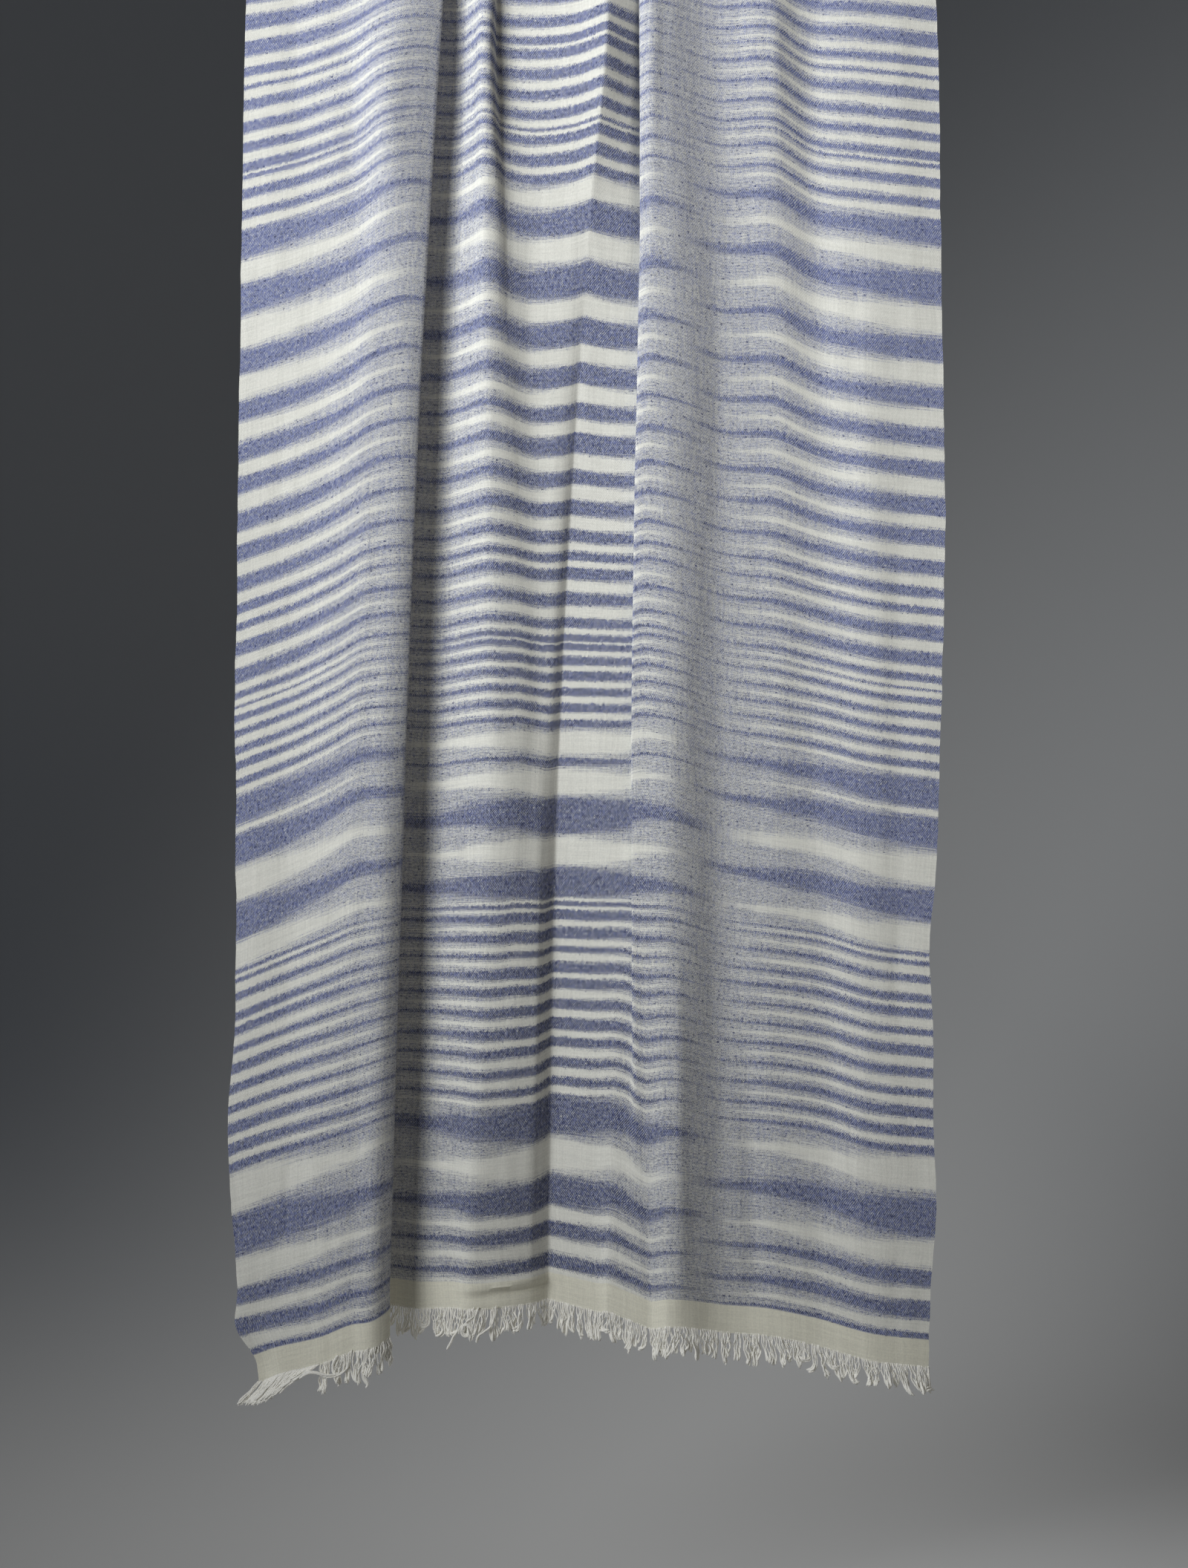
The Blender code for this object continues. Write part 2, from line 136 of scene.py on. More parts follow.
TUCK_LIP = 0.008  # how far the layers of a tuck run flat beside its turns
TUCK_SPREAD = 0.008  # spacing of a tuck's points where it has opened out
BACK_FULLNESS = 0.6  # how far the folds stand out behind, set against the front

# The lower left corner, which curls in

CURL_START = 1.13  # depth where it starts
CURL_RUN = 0.045  # depth over which it sets in
CURL_REACH = 0.05  # how far in from the selvedge it is felt
CURL_IN = 0.016  # how far the corner moves to the right
CURL_BACK = 0.006

# Where the selvedges swing out or in: side, depth, half length and how far to the right

Swing = namedtuple("Swing", "side depth reach shift")

SWINGS = (
    Swing("left", 0.994, 0.075, -0.0078),
    Swing("left", 1.15, 0.022, -0.005),
    Swing("left", 0.64, 0.05, -0.0014),
    Swing("right", 0.52, 0.15, 0.0034),
    Swing("right", 0.832, 0.05, -0.005),
    Swing("right", 1.048, 0.06, 0.0042),
)
SWING_REACH = 0.06  # how far in from the selvedge a swing is felt

# How both selvedges wander, as woven edges do: how far, over what length, and the seed

Wander = namedtuple("Wander", "shift length seed")

WANDERS = (Wander(0.0006, 0.012, 1.3), Wander(0.0008, 0.05, 5.9))
WANDER_REACH = 0.006  # how far in from the selvedge it is felt

# Small pressed creases and dents, as lines on the front (x, depth) from one end to the other
#
# A ridge has a height above 0 and a trough below 0, out from the cloth.

Crease = namedtuple("Crease", "name start end half_width height")

FRONT_CREASES = (
    Crease("pressed_right", (0.071, 0.84), (0.073, 1.12), 0.005, 0.0016),
    Crease("pressed_left", (-0.242, 1.01), (-0.243, 1.075), 0.0035, -0.0012),
    Crease("hem_pinch", (-0.104, 1.1125), (-0.03, 1.1045), 0.0042, 0.0034),
    Crease("hem_pinch_under", (-0.106, 1.118), (-0.034, 1.11), 0.0038, -0.0026),
    Crease("left_bulge", (-0.178, 0.06), (-0.15, 0.25), 0.014, 0.003),
    Crease("left_hollow", (-0.196, 0.1), (-0.178, 0.33), 0.012, -0.002),
    Crease("valley_fold", (-0.036, 0.56), (-0.06, 0.86), 0.011, -0.0008),
    Crease("right_soft_one", (0.196, 0.08), (0.204, 0.42), 0.011, 0.0016),
    Crease("right_soft_two", (0.247, 0.5), (0.252, 0.9), 0.012, -0.0014),
    Crease("right_soft_three", (0.128, 0.9), (0.136, 1.12), 0.01, -0.0016),
)
BACK_CREASES = (
    Crease("back_one", (-0.205, 0.06), (-0.215, 0.42), 0.011, 0.0018),
    Crease("back_two", (0.02, 0.18), (0.002, 0.64), 0.008, -0.002),
    Crease("back_three", (0.19, 0.1), (0.205, 0.56), 0.012, -0.0018),
    Crease("back_four", (0.118, 0.48), (0.124, 0.74), 0.008, 0.0014),
    Crease("back_five", (-0.06, 0.52), (-0.066, 0.77), 0.01, 0.0016),
)
CREASE_END = 0.2  # share of its height that a crease keeps at its ends
CREASE_START_RUN = 0.05  # depth below the rod over which creases and ripples set in

# The softness all over: how high it is, its size across and up the cloth, and the seed

Ripple = namedtuple("Ripple", "height across up seed")

RIPPLES = (Ripple(0.001, 0.03, 0.24, 3.1), Ripple(0.0004, 0.011, 0.06, 7.7))

# The weft's stripes
#
# The weft yarn is dyed blue and cream by turns, in lengths that nearly match the cloth's width, so
# each stripe is full at the selvedges and at the middle and mixes to heather between them. The plan
# gives the width of each blue stripe at the selvedge, and of the cream one above it, in millimetres.

BLUE_SHARE = 0.54  # of the yarn's length
HEM_PHASE = 0.17  # how far into its blue the yarn is at the first pick
FULLER = 0.045  # share of the width that the weft gains right of the middle
MILLIMETRE = 0.001

FRONT_PLAN = (
    # hem bands
    (5, 10), (15.5, 10.5), (14, 23.5), (35, 31),
    # fine stripes
    (7.5, 6), (9, 6.5), (9.5, 7.5), (6.5, 9), (8, 8), (8.5, 8), (5.5, 8.5), (8, 4), (7, 9),
    (6.5, 8), (3.5, 3.5), (3, 23.5),
    # wide bands
    (29.5, 28.5), (27.5, 4.5), (26, 5.5),
    # fine stripes
    (6.5, 7), (6.5, 6), (6.5, 7), (5.5, 6.5), (5.5, 5.5), (1.5, 5.5), (6, 6.5), (12, 9), (12, 9),
    (6, 7), (8.5, 8.5),
    # stripes that widen
    (13.5, 11), (13.5, 10.5), (16, 13.5), (14, 11), (16.5, 15.5), (17, 19.5), (20, 25.5),
    (27, 20), (22.5, 7.5),
    # fine stripes
    (7, 9), (8, 7.5), (3.5, 2), (7.5, 7.5), (8, 7.5), (8.5, 8.5), (9, 7.5), (3.5, 6.5), (7.5, 8),
    (12, 9), (12, 8.5),
)
BACK_PLAN = ((16, 14), (24, 21), (28, 24), (13, 11), (8, 7), (7, 8), (6, 6.5), (9, 8))

CURVE_SECTIONS = 10  # the plan is held in this many curves up the cloth
WARP_PITCH = 0.00039  # from one warp end to the next
WEFT_PITCH = 0.0006  # from one pick to the next
TWILL_REPEAT = 4  # ends, and picks, to one twill line

CREAM = (0.77, 0.765, 0.705, 1)
HEM_CREAM = (0.76, 0.742, 0.625, 1)
WARP_CREAM = (0.725, 0.735, 0.675, 1)
BLUE = (0.03, 0.041, 0.122, 1)
BLUE_LIGHT = (0.15, 0.18, 0.38, 1)


# Smooth curves through named points

def slope_weights(knots, softness):
    """For each knot, the weights that give the curve's slope there from the values at the knots."""
    gaps = np.diff(knots)
    weights = np.zeros((len(knots), len(knots)))
    weights[0, :2] = -1 / gaps[0], 1 / gaps[0]
    weights[-1, -2:] = -1 / gaps[-1], 1 / gaps[-1]
    for i in range(1, len(gaps)):
        before, after = gaps[i - 1:i + 1]
        span = before + after
        weights[i, i - 1] = -after / before / span
        weights[i, i] = after / before / span - before / after / span
        weights[i, i + 1] = before / after / span
    return weights * np.reshape(softness, (-1, 1))


def curve_weights(knots, places, softness=1.0):
    """Weights on the values at the knots that give a smooth curve's value at each place."""
    knots = np.asarray(knots, float)
    slopes = slope_weights(knots, softness)
    places = np.clip(places, knots[0], knots[-1])
    i = np.minimum(np.searchsorted(knots, places, side="right") - 1, len(knots) - 2)
    step = knots[i + 1] - knots[i]
    u = (places - knots[i]) / step
    weights = np.zeros((len(places), len(knots)))
    row = np.arange(len(places))
    weights[row, i] += 2 * u**3 - 3 * u**2 + 1
    weights[row, i + 1] += 3 * u**2 - 2 * u**3
    weights += (step * (u**3 - 2 * u**2 + u))[:, None] * slopes[i]
    weights += (step * (u**3 - u**2))[:, None] * slopes[i + 1]
    return weights


def ramp(value):
    """0 below 0, 1 above 1, and smooth between."""
    value = np.clip(value, 0, 1)
    return value * value * (3 - 2 * value)


# The section of the cloth

def tuck_rows(tuck, below):
    """The five fold lines of a knife fold, in order from the left. below is the next line's droop."""
    edge_x, outer, inner, width, closed, droop = (np.array(column) for column in tuck[2:])
    folded = [-TUCK_LIP + 0 * width, 0 * width, -width / 2, -width, -width + TUCK_LIP]
    way = -1 if tuck.over == "right" else 1
    rows = []
    for i, shift in enumerate(folded):
        spread = (i - 2) * TUCK_SPREAD
        x = edge_x + way * closed * shift + way * (1 - closed) * spread
        under = i / (len(folded) - 1)
        rows.append((x, outer + (inner - outer) * under, droop + (np.array(below) - droop) * under, 1.0))
    return rows[::way]


def section_table():
    """All fold lines as arrays: x and out at the levels, droop, softness, and which are in tucks."""
    rows, in_tuck = [], []
    for i, fold in enumerate(FOLDS):
        if isinstance(fold, Tuck):
            under = FOLDS[i - 1] if fold.over == "right" else FOLDS[i + 1]
            added = tuck_rows(fold, under.droop)
        else:
            added = [(np.array(fold.x), np.array(fold.out), np.array(fold.droop), fold.softness)]
        rows += added
        in_tuck += [len(added) > 1] * len(added)
    x, out, droop, softness = (np.array(column) for column in zip(*rows))
    return x, out, droop, softness, in_tuck


SECTION_X, SECTION_OUT, SECTION_DROOP, SECTION_SOFTNESS, SECTION_IN_TUCK = section_table()


def section_knots():
    """The distance across the cloth of each fold line, taken at the top level."""
    steps = np.hypot(np.diff(SECTION_X[:, 1]), np.diff(SECTION_OUT[:, 1]))
    return np.concatenate(([0], np.cumsum(steps)))


def column_places():
    """Where the columns of the mesh cross the section: on each fold line and evenly between."""
    knots = section_knots()
    places = [0.0]
    for i in range(len(knots) - 1):
        step = knots[i + 1] - knots[i]
        in_tuck = SECTION_IN_TUCK[i] and SECTION_IN_TUCK[i + 1]
        count = TUCK_COLUMNS if in_tuck else max(1, round(step / COLUMN_SPACING))
        places += [knots[i] + step * (k + 1) / count for k in range(count)]
    return np.array(places)


# The whole cloth, as a grid of points in the middle of its thickness

def at_depths(basis, table, depth, levels=LEVELS):
    """A table's value for each column at each depth, columns by rows."""
    weights = curve_weights(levels, depth.ravel()).reshape(depth.shape + (len(levels),))
    return np.einsum("cf,fl,crl->cr", basis, table, weights)


def row_fractions(count, crowding):
    """Fractions from 0 to 1 that lie closer together towards 1. The crowding is under 1."""
    even = np.linspace(0, 1, count)
    return even + crowding * (even - even**2)


def cloth_grid():
    """The grid, columns by rows by 3, from the front hem to the back hem, and how far up the cloth
    from the front hem edge each point is."""
    places = column_places()
    basis = curve_weights(section_knots(), places, SECTION_SOFTNESS)
    droop = basis @ SECTION_DROOP
    columns = len(places)

    front_length = FRONT_FALL + droop[:, -1]
    over_length = pi * HANG_RADIUS
    back_length = WOVEN_LENGTH - FRONT_FALL - droop[:, 0] - over_length
    front_depth = front_length[:, None] * row_fractions(FRONT_ROWS, FRONT_CROWDING)[::-1]
    back_depth = back_length[:, None] * row_fractions(BACK_ROWS, BACK_CROWDING)

    x = at_depths(basis, SECTION_X, front_depth)
    out = at_depths(basis, SECTION_OUT, front_depth)
    curl = ramp((front_depth - CURL_START) / CURL_RUN) * ramp(1 - places / CURL_REACH)[:, None]
    front = np.stack([x + CURL_IN * curl, -HANG_RADIUS - out + CURL_BACK * curl, -front_depth], 2)
    front_up = FRONT_FALL + at_depths(basis, SECTION_DROOP, front_depth, DROOP_LEVELS) - front_depth

    angles = np.linspace(0, pi, ROD_ROWS + 2)[1:-1]
    x = (basis @ SECTION_X[:, 0])[:, None] + np.zeros((columns, ROD_ROWS))
    radius = HANG_RADIUS + (basis @ SECTION_OUT[:, 0])[:, None]
    over = np.stack([x, -radius * np.cos(angles), radius * np.sin(angles)], 2)
    top_up = FRONT_FALL + droop[:, :1]
    over_up = top_up + HANG_RADIUS * angles

    back_out = SECTION_OUT[:, :1] + (SECTION_OUT - SECTION_OUT[:, :1]) * BACK_FULLNESS
    x = at_depths(basis, SECTION_X, back_depth)
    out = at_depths(basis, back_out, back_depth)
    back = np.stack([x, HANG_RADIUS + out, -back_depth], 2)
    back_up = top_up + over_length + back_depth

    grid = np.concatenate([front, over, back], 1)
    return grid, np.concatenate([front_up, over_up, back_up], 1)


def grid_normals(grid):
    """Unit normals of the grid, away from the rod."""
    normals = np.cross(np.gradient(grid, axis=0), np.gradient(grid, axis=1))
    return normals / np.linalg.norm(normals, axis=2, keepdims=True)


def crease_height(crease, x, depth):
    """How far a crease moves the cloth out at each point, from its distance to the crease's line."""
    start, end = np.array(crease.start), np.array(crease.end)
    run = end - start
    along = ((x - start[0]) * run[0] + (depth - start[1]) * run[1]) / (run @ run)
    nearest = np.clip(along, 0, 1)
    away = np.hypot(x - start[0] - run[0] * nearest, depth - start[1] - run[1] * nearest)
    taper = np.sqrt(np.clip(4 * nearest * (1 - nearest), 0, 1)) * (1 - CREASE_END) + CREASE_END
    return crease.height * taper * np.exp(-((away / crease.half_width) ** 2))


def soft_noise(a, b, seed):
    """Smooth noise about 0 over two arrays of coordinates, whose units are the noise's own size."""
    flat = [noise.noise(Vector((p, q, seed))) for p, q in zip(a.ravel(), b.ravel())]
    return np.array(flat).reshape(a.shape)


def crumple(grid, up):
    """Moves the grid out and in by the small creases and an uneven softness."""
    normals = grid_normals(grid)
    height = np.zeros(up.shape)
    x, depth = grid[:, :, 0], -grid[:, :, 2]
    front = grid[:, :, 1] < 0
    hanging = ramp(depth / CREASE_START_RUN)
    for creases, side in ((FRONT_CREASES, front), (BACK_CREASES, ~front)):
        for crease in creases:
            height += crease_height(crease, x, depth) * side * hanging
    for ripple in RIPPLES:
        height += ripple.height * soft_noise(x / ripple.across, up / ripple.up, ripple.seed) * hanging
    return grid + normals * height[:, :, None]


def uneven_selvedges(grid, up, across):
    """Swings the front's long edges out and in, and lets both edges wander as woven ones do."""
    front = grid[:, :, 1] < 0
    for swing in SWINGS:
        edge = 0.0 if swing.side == "left" else 1.0
        near = ramp(1 - np.abs(across - edge) * CLOTH_WIDTH / SWING_REACH)
        along = np.exp(-((-grid[:, :, 2] - swing.depth) / swing.reach) ** 2)
        grid[:, :, 0] += swing.shift * near * along * front
    for edge, sign in ((0.0, -1), (1.0, 1)):
        near = ramp(1 - np.abs(across - edge) * CLOTH_WIDTH / WANDER_REACH)
        shift = sum(wander.shift * soft_noise(up / wander.length, across * 0 + edge, wander.seed)
                    for wander in WANDERS)
        grid[:, :, 0] += sign * near * shift
    return grid


def add_object(name, data):
    """A new object in the scene, for a mesh, a light or a camera."""
    item = bpy.data.objects.new(name, data)
    bpy.context.scene.collection.objects.link(item)
    return item


def smooth_mesh(name, verts, faces, sharp_angle=180):
    """A smooth mesh whose edges stay sharp from the given angle on, in degrees."""
    mesh = bpy.data.meshes.new(name)
    mesh.from_pydata(verts, [], faces)
    mesh.shade_smooth()
    if sharp_angle < 180:
        mesh.set_sharp_from_angle(angle=radians(sharp_angle))
    return mesh


def cloth_shell(name, grid, across, up):
    """A thin closed shell on both sides of the grid, with its place in the weave as a UV map."""
    normals = grid_normals(grid)
    columns, rows = up.shape
    outer = (grid + normals * CLOTH_THICKNESS / 2).reshape(-1, 3)
    inner = (grid - normals * CLOTH_THICKNESS / 2).reshape(-1, 3)
    index = np.arange(columns * rows).reshape(columns, rows)
    under = index + columns * rows

    def quads(a, b):
        return np.stack([a[:-1], a[1:], b[1:], b[:-1]], 1)

    faces = [np.stack([index[:-1, :-1], index[1:, :-1], index[1:, 1:], index[:-1, 1:]], 2)]
    faces += [np.stack([under[:-1, :-1], under[:-1, 1:], under[1:, 1:], under[1:, :-1]], 2)]
    faces = [face.reshape(-1, 4) for face in faces]
    faces += [quads(under[:, 0], index[:, 0]), quads(index[:, -1], under[:, -1])]
    faces += [quads(index[0], under[0]), quads(under[-1], index[-1])]
    faces = np.concatenate(faces)

    mesh = smooth_mesh(name, np.concatenate([outer, inner]).tolist(), faces.tolist(), CLOTH_SHARP_ANGLE)
    weave = np.stack([across, up], 2).reshape(-1, 2)
    weave = np.concatenate([weave, weave])[faces.ravel()]
    mesh.uv_layers.new(name="weave").data.foreach_set("uv", weave.ravel())
    return add_object(name, mesh)


# Fringe

# row is the hem's row in the cloth's grid, and bundle the distance from one bundle to the next.
Fringe = namedtuple("Fringe", "name row bundle yarns seed corner")

FRINGES = (
    Fringe("fringe_yarns_front", 0, 0.0062, 6, 31, True),
    Fringe("fringe_yarns_back", -1, 0.0072, 5, 47, False),
)

YARN_SIDES = 5
YARN_STEPS = 14
YARN_RADIUS = 0.0005
YARN_GAUGE = (0.75, 1.2)  # the thinnest and the thickest yarn, in shares of that radius

# A yarn felts with its neighbours from some share of its length on, and is thicker there
YARN_FELTS_FROM = 0.55
STRAND_FELTS_FROM = 0.35
FELTING_RUN = 0.25  # share of its length over which that sets in
TIP_FELTING = 0.75  # how much thicker it gets
BLUNT_END = 0.5  # share of its radius at the very end

# A yarn waves, bows out sideways halfway, and hooks to the side and up at its end
WAVE_ONSET = 3  # full a third of the way down
WAVE_FADE = 0.6  # share of it that is lost at the tip
BOW_ROUNDNESS = 0.8  # rounder than a sine below 1
HOOK_FROM, HOOK_BEND = 0.6, 6  # where it starts along the yarn, and how strongly it bends
LIFT_FROM, LIFT_BEND = 0.7, 8

# How the bundles along a hem differ: the ranges that their values are drawn from
BUNDLE_STRAY = (-0.22, 0.22)  # along the hem, in bundles
BUNDLE_HALF = (0.36, 0.5)  # half a bundle's width at the hem, in bundles
BUNDLE_LENGTH = (0.72, 1.0)  # in fringe lengths
BUNDLE_BOW = (0.0, 0.0028)
BUNDLE_WAVE = (0.0005, 0.0015)
BUNDLE_CLOSE = (0.0003, 0.0016)  # half a bundle's width at its tip
TIP_SIDEWAYS, TIP_FORWARD, TIP_HOOK = 0.0024, 0.0014, 0.0028  # usual strays either way

# How the yarns in a bundle differ
YARN_STRAY = (-0.2, 0.2)  # of half a bundle's width
YARN_SHORTER = (0, 0.0035)
YARN_TURNS = (7, 16)  # radians of its wave
YARN_SIDEWAYS, YARN_FORWARD, YARN_HOOK = 0.0003, 0.0005, 0.0008  # usual strays either way
ROOT_HIDDEN = 0.0012  # how far inside the hem's edge a yarn starts

# The left corner's yarns sweep out together. A tip lies so far right of its root and above it at
# each share of the corner.
CORNER_END = 0.088  # share of the hem
CORNER_YARNS = 11
CORNER_SHARES = (0.0, 0.35, 0.7, 1.0)
CORNER_RIGHT = (-0.0165, -0.02, -0.0235, -0.02)
CORNER_ABOVE = (-0.02, -0.026, -0.025, -0.014)
CORNER_FORWARD, CORNER_WAVE, CORNER_CLOSE = 0.002, 0.0005, 0.0024

# How far the bundles' tips lean to the right, at each share of the hem
LEAN_SHARES = (0.0, 0.35, 0.75, 0.9, 1.0)
LEAN_RIGHT = (0.0, -0.001, 0.001, 0.004, 0.005)

# Bundles that hang in a shape of their own, as points right of the root and above it in millimetres
Strand = namedtuple("Strand", "name share yarns points apart", defaults=(0.0005,))

STRANDS = (
    Strand("swept", 0.133, 5, ((0, 1), (-0.5, -6), (-2, -12), (-8, -16.5), (-17, -18), (-26, -15.5),
                               (-33, -15.5), (-39, -19)), 0.00042),
    Strand("oval", 0.12, 3, ((2, 1), (3.5, -5), (2.5, -11), (-1, -14), (-5, -11.5), (-5.5, -6),
                             (-3, -1), (-2, 1))),
    Strand("long_hook", 0.156, 4, ((0, 1), (-1, -8), (-3, -15), (-2, -21), (1, -26), (0, -29))),
    Strand("crossed", 0.374, 4, ((3, 1), (2, -8), (0, -16), (-4, -22), (-7, -28), (-9, -32))),
    Strand("ring", 0.388, 4, ((3, 1), (3, -6), (-1, -9), (-5, -14), (-4, -19), (0, -20), (2.5, -16),
                              (0, -12), (-3, -11))),
    Strand("bent", 0.413, 5, ((4, 1), (4, -6), (3, -12), (-1, -16), (-5, -19), (-8, -21), (-9, -26)),
           0.00045),
    Strand("tail", 0.4, 3, ((-1, 1), (-3, -8), (-2, -15), (-4, -21), (-5, -23))),
)
STRAND_FORWARD = 0.0008  # how far out of the cloth such a bundle starts
STRAND_FAN = 2.2  # how much wider it is at its root
STRAND_SLANT = 0.7  # across and up, of the distance between its yarns
STRAND_WAVE, STRAND_TURNS = 0.0003, 14
STRAND_SWAY, STRAND_SWAY_TURNS = 0.0004, 11  # the same, out of the cloth


class YarnMesh:
    """Collects round yarns with their place round and along each one."""

    def __init__(self):
        self.verts, self.faces, self.places = [], [], []

    def add(self, path, radii, front):
        first = len(self.verts)
        for s, point in enumerate(path):
            ahead = (path[min(s + 1, len(path) - 1)] - path[max(s - 1, 0)]).normalized()
            one = ahead.cross(front).normalized()
            two = ahead.cross(one)
            for k in range(YARN_SIDES):
                angle = 2 * pi * k / YARN_SIDES
                self.verts.append(point + (one * cos(angle) + two * sin(angle)) * radii[s])
                self.places.append((k / YARN_SIDES, s / (len(path) - 1) * FRINGE_LENGTH))
        for s in range(len(path) - 1):
            for k in range(YARN_SIDES):
                a = first + s * YARN_SIDES + k
                c = first + s * YARN_SIDES + (k + 1) % YARN_SIDES
                self.faces.append((a, c, c + YARN_SIDES, a + YARN_SIDES))
        last = len(self.verts) - YARN_SIDES
        self.faces.append(tuple(range(last, last + YARN_SIDES)))
        self.faces.append(tuple(range(first + YARN_SIDES - 1, first - 1, -1)))

    def piece(self, name):
        mesh = smooth_mesh(name, [tuple(v) for v in self.verts], self.faces)
        layer = mesh.uv_layers.new(name="yarn")
        for loop in mesh.loops:
            layer.data[loop.index].uv = self.places[loop.vertex_index]
        return add_object(name, mesh)


def fringe_mesh(fringe, grid, across):
    """Bundles of warp ends that leave the hem apart and run together into felted tips."""
    draw = random.Random(fringe.seed)
    edge, share = grid[:, fringe.row], across[:, fringe.row]
    normal = grid_normals(grid)[:, fringe.row]
    up, right = Vector((0, 0, 1)), Vector((1, 0, 0))
    yarns = YarnMesh()

    def at(place, table):
        return Vector([float(np.interp(place, share, table[:, k])) for k in range(3)])

    def facing(place):
        """The level directions out of the cloth and along it at a place."""
        front = at(place, normal)
        front.z = 0
        front.normalize()
        return front, Vector((-front.y, front.x, 0))

    def thickness(count, felted_from):
        """Radii along a yarn, which thickens where its bundle felts and rounds off at its end."""
        radius = YARN_RADIUS * draw.uniform(*YARN_GAUGE)
        places = np.linspace(0, 1, count)
        radii = radius * (1 + TIP_FELTING * ramp((places - felted_from) / FELTING_RUN))
        radii[-1] *= BLUNT_END
        return radii

    def yarn(root, tip, front, side, bow, wave, turns, hook):
        """One yarn from root to tip. bow holds it out sideways halfway, hook bends its end."""
        phase, other = draw.uniform(0, 2 * pi), draw.uniform(0, 2 * pi)
        path = []
        for s in range(YARN_STEPS + 1):
            u = s / YARN_STEPS
            calm = min(1.0, WAVE_ONSET * u) * (1 - WAVE_FADE * u)
            bend = hook * max(0.0, u - HOOK_FROM) ** 2 * HOOK_BEND
            point = root.lerp(tip, u) + side * bow * sin(pi * u) ** BOW_ROUNDNESS
            point += side * (wave * calm * sin(phase + turns * u) + bend)
            point += front * wave * calm * sin(other + turns * u)
            path.append(point + up * abs(hook) * max(0.0, u - LIFT_FROM) ** 2 * LIFT_BEND)
        yarns.add(path, thickness(YARN_STEPS + 1, YARN_FELTS_FROM), front)

    count = round(CLOTH_WIDTH / fringe.bundle)
    for b in range(count):
        middle = (b + 0.5 + draw.uniform(*BUNDLE_STRAY)) / count
        half = draw.uniform(*BUNDLE_HALF) / count
        front, side = facing(middle)
        if fringe.corner and middle < CORNER_END:
            far = middle / CORNER_END
            tip = at(middle, edge) - front * CORNER_FORWARD
            tip += right * float(np.interp(far, CORNER_SHARES, CORNER_RIGHT))
            tip += up * float(np.interp(far, CORNER_SHARES, CORNER_ABOVE))
            number, bow, hook, wave, close = CORNER_YARNS, 0.0, 0.0, CORNER_WAVE, CORNER_CLOSE
        else:
            lean = float(np.interp(middle, LEAN_SHARES, LEAN_RIGHT)) if fringe.corner else 0.0
            tip = at(middle, edge) - up * FRINGE_LENGTH * draw.uniform(*BUNDLE_LENGTH)
            tip += side * (draw.gauss(0, TIP_SIDEWAYS) + lean) + front * draw.gauss(0, TIP_FORWARD)
            number, bow, hook = fringe.yarns, draw.uniform(*BUNDLE_BOW), draw.gauss(0, TIP_HOOK)
            wave, close = draw.uniform(*BUNDLE_WAVE), draw.uniform(*BUNDLE_CLOSE)
        for y in range(number):
            place = 2 * (y + 0.5) / number - 1 + draw.uniform(*YARN_STRAY)
            root = at(middle + half * place, edge) + up * ROOT_HIDDEN
            end = tip + side * (place * close + draw.gauss(0, YARN_SIDEWAYS))
            end += up * draw.uniform(*YARN_SHORTER)
            end += front * draw.gauss(0, YARN_FORWARD)
            yarn(root, end, front, side, bow * place, wave, draw.uniform(*YARN_TURNS),
                 hook + draw.gauss(0, YARN_HOOK))

    for strand in STRANDS if fringe.corner else ():
        front = facing(strand.share)[0]
        start = at(strand.share, edge) + front * STRAND_FORWARD
        shape = np.array(strand.points) * MILLIMETRE
        steps = np.linspace(0, 1, 2 * YARN_STEPS + 1)
        line = curve_weights(np.linspace(0, 1, len(shape)), steps) @ shape
        for y in range(strand.yarns):
            away = (y - (strand.yarns - 1) / 2) * strand.apart
            phase = draw.uniform(0, 2 * pi)
            path = []
            for u, (x, z) in zip(steps, line):
                aside = away * (1.0 + STRAND_FAN * (1 - u) ** 3)
                aside = (aside + STRAND_WAVE * sin(phase + STRAND_TURNS * u)) * STRAND_SLANT
                path.append(start + right * (x + aside) + up * (z + aside)
                            + front * STRAND_SWAY * sin(phase + STRAND_SWAY_TURNS * u))
            yarns.add(path, thickness(len(steps), STRAND_FELTS_FROM), front)
    return yarns.piece(fringe.name)


# Rod

ROD_SIDES = 96
ROD_ROUNDING = 0.0015  # radius of the end's edge
ROD_ROUNDING_STEPS = 5
ROD_END_INSET = 0.5  # radius of the ring inside the end face, in rod radii
ROD_STATIONS = 24  # rings along the straight part
ROD_END_RUN = 0.01  # from the rod's end to the first of them
ROD_SHARP_ANGLE = 40  # degrees from which an edge stays sharp


